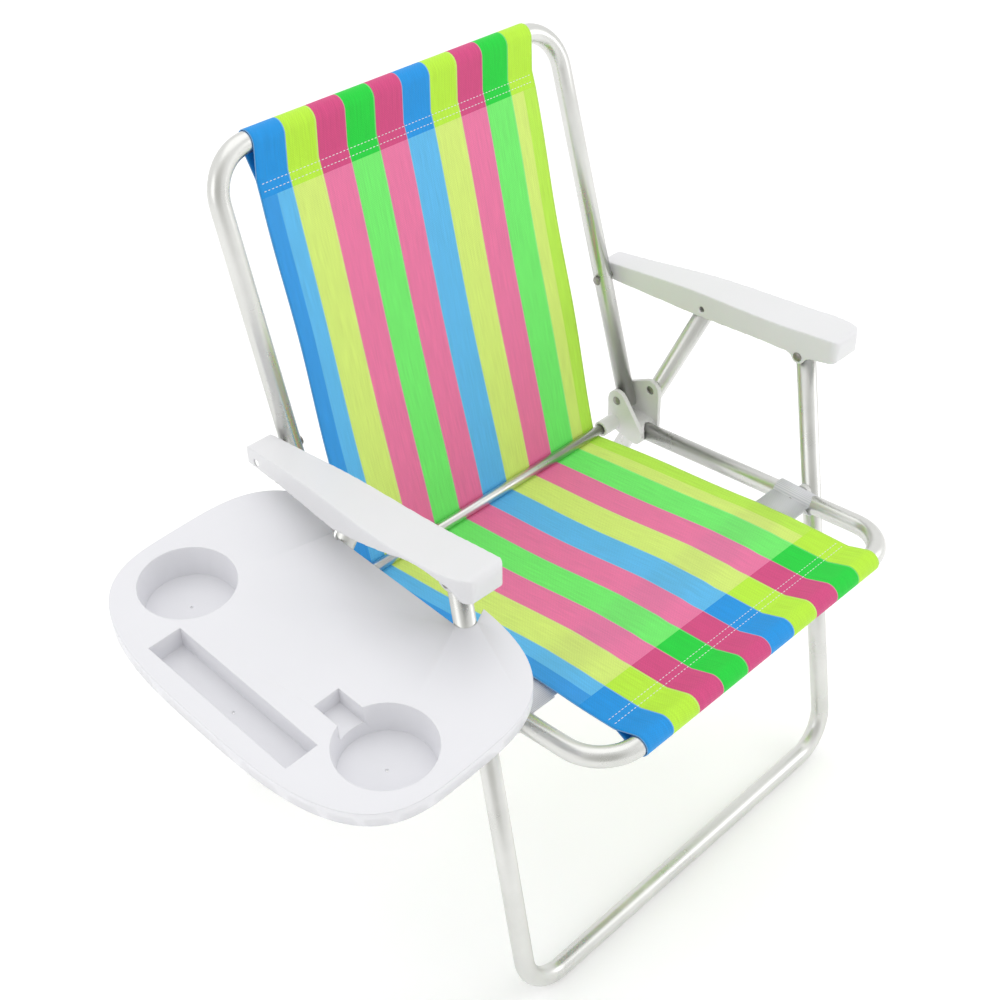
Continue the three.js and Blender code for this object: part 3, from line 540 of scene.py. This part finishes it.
for hand in HANDS:
    arm = moulded(f"armrest_{hand}", ARM_PLASTIC, 1.1 * MM, 5)
    finish_piece(arm, f"armrest_{hand}_arm", "white_plastic", f"armrest_{hand}")
    joint = moulded(f"joint_block_{hand}", BLOCK_PLASTIC, 0.6 * MM, 3)
    finish_piece(joint, "seat", "white_plastic", f"joint_block_{hand}")
    spacer = moulded(f"leg_spacer_{hand}", BLOCK_PLASTIC, 0.5 * MM, 2)
    # The strap's loop passes between the rail and the spacer, so the spacer's face moves out.
    for vert in spacer.data.vertices:
        out = vert.co.x - MID_X
        vert.co.x = MID_X + math.copysign(max(abs(out), SPACER_FACE_X), out)
    finish_piece(spacer, "seat", "white_plastic", f"leg_spacer_{hand}")

TRAY_ROUND = 2.2 * MM
SHORTEST_RIM_EDGE = 3 * MM  # shorter edges stay sharp
RIM_ANGLE = math.radians(35)
SHARP_ANGLE = math.radians(32)
FACES_UP = 0.98  # cosine of the lean that still counts as the upper side


def tray():
    """The tray from its CAD solid, with the edges of its upper side rounded."""
    work = bmesh.new()
    work.from_mesh(frame["nodes"]["side_tray"].data)
    bmesh.ops.remove_doubles(work, verts=work.verts, dist=SAME_POINT)
    mounts = {mount["name"]: mount for mount in frame["record"]["mounts"]}
    upward = Vector(mounts["tray_top"]["axis"])
    rim = [
        edge for edge in work.edges
        if edge.calc_face_angle(0.0) > RIM_ANGLE
        and edge.calc_length() > SHORTEST_RIM_EDGE
        and any(face.normal.dot(upward) > FACES_UP for face in edge.link_faces)
    ]
    bmesh.ops.bevel(
        work, geom=rim, offset=TRAY_ROUND, offset_type="OFFSET", segments=4, profile=0.5,
        affect="EDGES", clamp_overlap=True, material=-1,
    )
    piece = piece_from(work, "side_tray_moulded", TRAY_PLASTIC)
    piece.data.set_sharp_from_angle(angle=SHARP_ANGLE)
    return piece


finish_piece(tray(), "tray", "white_plastic", "side_tray")

# ------------------------------------------------------------------------- rivets

# Radius and depth in millimetres: the head's depths are from its top, the tail's from its far end.
RIVET_HEAD = ((0, 0), (2, 0.12), (3.8, 0.55), (5, 1.1), (5.6, 1.8), (2.9, 1.85))
RIVET_TAIL = (
    (2.9, -1.1), (4.4, -1.0), (4.4, -0.4), (3.6, 0), (2.6, -0.2), (2, -0.9), (1.9, -4), (0, -4.2),
)


def rivet(node):
    """A domed head towards the chair's middle and a rolled, hollow tail outwards."""
    low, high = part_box(node)
    middle = middle_of(node)
    outward = 1 if middle.x > MID_X else -1
    head_x = low[0] if outward > 0 else high[0]
    tail_x = high[0] if outward > 0 else low[0]
    length = abs(tail_x - head_x)
    outline = [(radius * MM, depth * MM) for radius, depth in RIVET_HEAD]
    outline += [(radius * MM, length + depth * MM) for radius, depth in RIVET_TAIL]
    work = bmesh.new()
    points = [
        work.verts.new((head_x + outward * depth, middle.y + radius, middle.z))
        for radius, depth in outline
    ]
    edges = [work.edges.new(pair) for pair in zip(points, points[1:])]
    bmesh.ops.spin(
        work, geom=points + edges, cent=middle, axis=(1, 0, 0), angle=2 * math.pi, steps=28,
        use_merge=True, dvec=Vector(),
    )
    bmesh.ops.remove_doubles(work, verts=work.verts, dist=SAME_POINT)
    bmesh.ops.recalc_face_normals(work, faces=work.faces)
    return piece_from(work, f"{node}_turned", RIVET_METAL)


BODY_OF_RIVET = {
    "back_pivot_rivet": "seat",
    "armrest_rear_rivet": "back",
    "armrest_front_rivet": "armrest_{}_arm",
    "rear_leg_slide_pin": "rear_legs",
    "rear_leg_rivet": "seat",
    "front_leg_rivet": "seat",
}
for hand in HANDS:
    for name, body in BODY_OF_RIVET.items():
        node = f"{name}_{hand}"
        finish_piece(rivet(node), body.format(hand), "rivet_metal", node)

# -------------------------------------------------------------------------- sling


def arc(center, radius, start, end, steps):
    """Points round a centre, in the side view. Angles are in degrees from +Y towards +Z."""
    angles = np.radians(np.linspace(start, end, steps))
    return [center + Vector((math.cos(a), math.sin(a))) * radius for a in angles]


def angle_of(direction):
    return math.degrees(math.atan2(direction.y, direction.x))


def lean_to_bar(behind, rise):
    """Degrees by which cloth leans, from a point near a bar's line, to lie tangent on the bar."""
    reach = math.hypot(behind, rise)
    return math.degrees(math.asin(SLEEVE_R / reach) - math.atan2(rise, behind))


SEAT_START = -98  # degrees, where the cloth leaves the cross tube for the seat


def sling_path():
    """The cloth from the side, from the hem behind the back to the hem under the seat.

    Returns its points and the distances along it of the back's and the seat's hems and seams.
    """
    gap = CLOTH / 2 + LAYER_GAP
    hem = top_bar - back_up * BACK_HEM
    seam = top_bar - back_up * (BACK_SEAM - SEAM_PAIR)
    facing = angle_of(back_front)
    lean = lean_to_bar(BACK_SEAM - SEAM_PAIR, gap)
    over = arc(top_bar, SLEEVE_R, facing - 180 - lean, facing + lean, 24)
    back = [hem - back_front * gap, seam - back_front * gap] + over + [seam + back_front * gap]
    back.append(hem + back_front * gap)

    wrap = CROSS_TUBE_R + CLOTH / 2 + CROSS_TUBE_GAP
    rear = angle_of(-back_front)
    under = arc(cross_tube, wrap, rear, SEAT_START, 12)

    strap_top = crossing.y + STRAP_RISE + STRAP_THICK / 2
    half = STRAP_WIDTH / 2
    on_strap = [
        Vector((crossing.x + half, strap_top + CLOTH + OVER_STRAP[0])),
        Vector((crossing.x - half, strap_top + CLOTH + OVER_STRAP[1])),
    ]
    seat_seam = front_bar - rail_forward * (SEAT_SEAM - SEAM_PAIR)
    seat_hem = front_bar - rail_forward * SEAT_HEM
    flat = [seat_hem + rail_up * SEAT_HEM_RISE, seat_seam + rail_up * SEAT_SEAM_RISE]
    below = [point - rail_up * 2 * gap for point in reversed(flat)]
    upward = angle_of(rail_up)
    round_bar = arc(
        front_bar, SLEEVE_R,
        upward - lean_to_bar(SEAT_SEAM - SEAM_PAIR, SEAT_SEAM_RISE),
        upward + 180 + lean_to_bar(SEAT_SEAM - SEAM_PAIR, 2 * gap - SEAT_SEAM_RISE),
        26,
    )
    points = back + under + on_strap + flat + round_bar + below

    steps = [0.0] + [(b - a).length for a, b in zip(points, points[1:])]
    reach = np.cumsum(steps)
    marks = {
        "back_hem": reach[len(back) - 1],
        "back_seam": reach[len(back) - 1] - (BACK_HEM - BACK_SEAM),
        "under": (reach[len(back)], reach[len(back) + len(under) - 1]),
        "strap": reach[len(back) + len(under)],
        "seat_hem": reach[len(back) + len(under) + 2],
        "seat_seam": reach[len(back) + len(under) + 2] + SEAT_HEM - SEAT_SEAM,
    }
    return points, reach, marks


path, reach, marks = sling_path()
SLING_LENGTH = float(reach[-1])
path_y = [p.x for p in path]
path_z = [p.y for p in path]


def on_path(distance):
    return Vector((np.interp(distance, reach, path_y), np.interp(distance, reach, path_z)))


def out_of_path(distance):
    """The side of the cloth that faces the sitter, at a distance along it."""
    run = (on_path(distance + MM) - on_path(distance - MM)).normalized()
    return Vector((run.y, -run.x))


def slack(distance, share):
    """How far the cloth hangs behind its straight line, deepest in the middle of each span."""
    across = 1 - (2 * share - 1) ** 2
    spans = (
        (marks["back_hem"], marks["under"][0], BACK_SLACK),
        (marks["under"][1], marks["strap"], REAR_SEAT_SLACK),
        (marks["strap"] + STRAP_WIDTH, marks["seat_hem"], FRONT_SEAT_SLACK),
    )
    for start, end, depth in spans:
        if start < distance < end:
            along = (distance - start) / (end - start)
            return depth * math.sin(math.pi * along) ** 2 * across
    return 0.0


def sling():
    """One cloth, gridded along its path and across its width."""
    rows = round(SLING_LENGTH / CLOTH_STEP)
    columns = round(SLING_WIDTH / CLOTH_STEP)
    work = bmesh.new()
    cloth = work.loops.layers.uv.new("cloth")
    bmesh.ops.create_grid(work, x_segments=columns, y_segments=rows, size=0.5, calc_uvs=False)
    for face in work.faces:
        for loop in face.loops:
            share, along = loop.vert.co.x + 0.5, loop.vert.co.y + 0.5
            loop[cloth].uv = (share * SLING_WIDTH, along * SLING_LENGTH)
    for vert in work.verts:
        share, distance = vert.co.x + 0.5, (vert.co.y + 0.5) * SLING_LENGTH
        point = on_path(distance) - out_of_path(distance) * slack(distance, share)
        wave = math.sin(math.pi * distance / SLING_LENGTH * EDGE_WAVES)
        pull = EDGE_WAVE * wave * (2 * share - 1)
        x = (share - 0.5) * SLING_WIDTH - pull * abs(2 * share - 1) ** 3
        vert.co = place(x, point)
    bmesh.ops.recalc_face_normals(work, faces=work.faces)
    material = sling_mesh(marks["back_hem"], marks["seat_hem"])
    piece = piece_from(work, "sling_cloth", material)
    body = piece.modifiers.new("cloth", "SOLIDIFY")
    body.thickness = CLOTH
    body.offset = 0
    return piece


def seam(name, distances):
    """Rows of stitches across the cloth, standing a little proud of it."""
    work = bmesh.new()
    count = int((SLING_WIDTH - SEAM_MARGIN) / (STITCH + STITCH_GAP))
    size = Matrix.Diagonal((STITCH / 2, STITCH_HALF_WIDTH, STITCH_HALF_HEIGHT, 1.0))
    for distance in distances:
        out = out_of_path(distance)
        on_cloth = on_path(distance) + out * (CLOTH / 2 + LAYER_GAP)
        lean = math.radians(angle_of(Vector((out.y, -out.x))))
        shape = Matrix.Rotation(lean, 4, "X") @ size
        for i in range(count):
            x = (i - (count - 1) / 2) * (STITCH + STITCH_GAP)
            at = Matrix.Translation(place(x, on_cloth))
            bmesh.ops.create_icosphere(work, subdivisions=1, radius=1.0, matrix=at @ shape)
    return piece_from(work, name, THREAD)


def pair_at(distance):
    return (distance - SEAM_PAIR / 2, distance + SEAM_PAIR / 2)


top_seam = seam("back_sleeve_stitching", pair_at(marks["back_seam"]))
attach(top_seam, "back")
low_seam = seam("seat_sleeve_stitching", pair_at(marks["seat_seam"]))
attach(low_seam, "seat")

cloth_piece = sling()
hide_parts("back_sling", "seat_sling")
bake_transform(cloth_piece)

# -------------------------------------------------------------------------- strap


LOOP_SHORT = 12  # degrees by which the loop ends before it meets its own underside


def strap_band():
    """A woven band across the chair, folded round each rail and sewn to its own underside."""
    radius = TUBE_R + STRAP_GAP + STRAP_THICK / 2
    start = math.degrees(math.asin(STRAP_RISE / radius))
    turn = np.radians(np.linspace(180 - start, -180 + start + LOOP_SHORT, 30))
    ring = [Vector((math.cos(a), math.sin(a))) * radius for a in turn]
    tail_z = STRAP_RISE - 2 * STRAP_THICK
    tail = [Vector((FRAME_X - radius - reach, tail_z)) for reach in STRAP_TAIL]
    right = [Vector((FRAME_X + p.x, p.y)) for p in ring] + tail
    left = [Vector((-p.x, p.y)) for p in reversed(right)]
    line = left + right
    work = bmesh.new()
    cloth = work.loops.layers.uv.new("cloth")
    rear_edge = crossing.x + STRAP_WIDTH / 2
    points = [work.verts.new((MID_X + p.x, rear_edge, crossing.y + p.y)) for p in line]
    edges = [work.edges.new(pair) for pair in zip(points, points[1:])]
    grown = bmesh.ops.extrude_edge_only(work, edges=edges)["geom"]
    moved = [part for part in grown if isinstance(part, bmesh.types.BMVert)]
    bmesh.ops.translate(work, verts=moved, vec=(0, -STRAP_WIDTH, 0))
    for face in work.faces:
        for corner in face.loops:
            corner[cloth].uv = (corner.vert.co.y, corner.vert.co.x)
    bmesh.ops.recalc_face_normals(work, faces=work.faces)
    band = piece_from(work, "support_strap_band", STRAP)
    body = band.modifiers.new("cloth", "SOLIDIFY")
    body.thickness = STRAP_THICK
    body.offset = 0
    length = sum((b - a).length for a, b in zip(line, line[1:]))
    return band, length


strap, strap_length = strap_band()
finish_piece(strap, "seat", "strap_webbing", "support_strap")

# ------------------------------------------------------------ floor, light, camera

FLOOR_HALF = 6.0
CHAIR_MIDDLE = (0.0, 0.0, 0.45)
END_WALL_AXIS = Vector((-0.62, -0.62, 0.48)).normalized()


def studio_paint():
    """Matt white floor paint, with a faint glow that keeps it white where no lamp reaches."""
    material, tree = new_material("matt_studio_floor")
    where = add_node(tree, "ShaderNodeTexCoord")
    cloud = add_node(tree, "ShaderNodeTexNoise", None, {
        "Vector": where.outputs["Object"], "Scale": 1.5,
    })
    tone = add_node(tree, "ShaderNodeMix", {"data_type": "RGBA"}, {
        "Factor": cloud.outputs["Fac"], "A": linear("#fcfcfc"), "B": linear("#ffffff"),
    })
    shader = add_node(tree, "ShaderNodeBsdfPrincipled", None, {
        "Base Color": tone.outputs["Result"], "Roughness": 0.9, "Specular IOR Level": 0.1,
        "Emission Color": (1.0, 1.0, 1.0, 1.0), "Emission Strength": 0.12,
    })
    add_node(tree, "ShaderNodeOutputMaterial", None, {"Surface": shader.outputs["BSDF"]})
    return material


def studio_room():
    """White all round, with a grey end wall that gives the tubes their dark streak."""
    world = bpy.data.worlds.new("studio_room")
    world.use_nodes = True
    tree = world.node_tree
    tree.nodes.clear()
    where = add_node(tree, "ShaderNodeTexCoord")
    toward_wall = add_node(tree, "ShaderNodeVectorMath", {"operation": "DOT_PRODUCT"}, {
        0: where.outputs["Generated"], 1: END_WALL_AXIS,
    })
    wall = add_node(tree, "ShaderNodeMapRange", {"interpolation_type": "SMOOTHSTEP"}, {
        "Value": toward_wall.outputs["Value"], "From Min": 0.7, "From Max": 0.95,
        "To Min": 0.0, "To Max": 1.0,
    })
    tone = add_node(tree, "ShaderNodeMix", {"data_type": "RGBA"}, {
        "Factor": wall.outputs["Result"], "A": (1.0, 1.0, 1.0, 1.0), "B": (0.66, 0.66, 0.64, 1.0),
    })
    light = add_node(tree, "ShaderNodeBackground", None, {
        "Color": tone.outputs["Result"], "Strength": 1.0,
    })
    add_node(tree, "ShaderNodeOutputWorld", None, {"Surface": light.outputs["Background"]})
    return world


def softbox(name, place_at, aim, size, power):
    """A square lamp of a size in metres and a power in watts, turned to face a point."""
    lamp = bpy.data.lights.new(name, "AREA")
    lamp.energy = power
    lamp.size = size
    light = bpy.data.objects.new(name, lamp)
    light.location = place_at
    light.rotation_euler = (Vector(aim) - Vector(place_at)).to_track_quat("-Z", "Y").to_euler()
    bpy.context.scene.collection.objects.link(light)


floor_work = bmesh.new()
bmesh.ops.create_grid(floor_work, x_segments=1, y_segments=1, size=FLOOR_HALF)
floor = piece_from(floor_work, "studio_floor", studio_paint(), smooth=False)

softbox("overhead_softbox", (0.3, 0.4, 2.9), CHAIR_MIDDLE, 2.4, 9)
softbox("left_softbox", (-2.8, 0.6, 1.7), CHAIR_MIDDLE, 1.8, 7)
softbox("right_softbox", (2.2, -1.8, 1.6), CHAIR_MIDDLE, 1.6, 9)

bpy.context.scene.world = studio_room()
bpy.context.scene.view_settings.view_transform = "Standard"

CAMERA_LENS = 56.81  # mm on a 36 mm sensor
CAMERA_ASIDE = 1.04175  # metres to the chair's left, from its middle plane
CAMERA_AHEAD = 0.77816  # metres in front of the crossing of rail and leg
CAMERA_HEIGHT = 1.49924
CAMERA_AZIMUTH = math.radians(45.51)
CAMERA_DOWN = math.radians(37.555)

camera_data = bpy.data.cameras.new("camera")
camera_data.lens = CAMERA_LENS
camera = bpy.data.objects.new("camera", camera_data)
camera.location = place(-CAMERA_ASIDE, Vector((crossing.x - CAMERA_AHEAD, CAMERA_HEIGHT)))
looking = Vector((
    math.sin(CAMERA_AZIMUTH) * math.cos(CAMERA_DOWN),
    math.cos(CAMERA_AZIMUTH) * math.cos(CAMERA_DOWN),
    -math.sin(CAMERA_DOWN),
))
camera.rotation_euler = looking.to_track_quat("-Z", "Y").to_euler()
bpy.context.scene.collection.objects.link(camera)
bpy.context.scene.camera = camera
